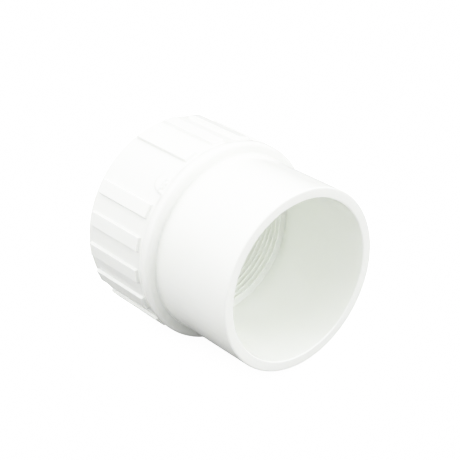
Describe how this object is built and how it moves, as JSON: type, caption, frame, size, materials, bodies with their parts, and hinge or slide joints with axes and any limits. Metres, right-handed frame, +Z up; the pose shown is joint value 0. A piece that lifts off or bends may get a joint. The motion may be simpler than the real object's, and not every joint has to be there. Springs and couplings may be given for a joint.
{
  "type": "female pipe adapter",
  "caption": "White PVC pipe fitting: a smooth cement socket on one end and a ribbed hub with a tapered female pipe thread on the other.",
  "frame": {"origin": "on the ground under the middle of the fitting's box, the fitting lying on its side on two grip ribs", "axes": "+X along the bore, from the threaded end to the mouth of the socket; +Z up"},
  "size_m": [0.074, 0.0764, 0.0761],
  "materials": {
    "white_pvc": "moulded rigid PVC, white, semi-gloss, with faint mould texture"
  },
  "bodies": {
    "root": {"adapter_body": "white_pvc"}
  },
  "joints": []
}
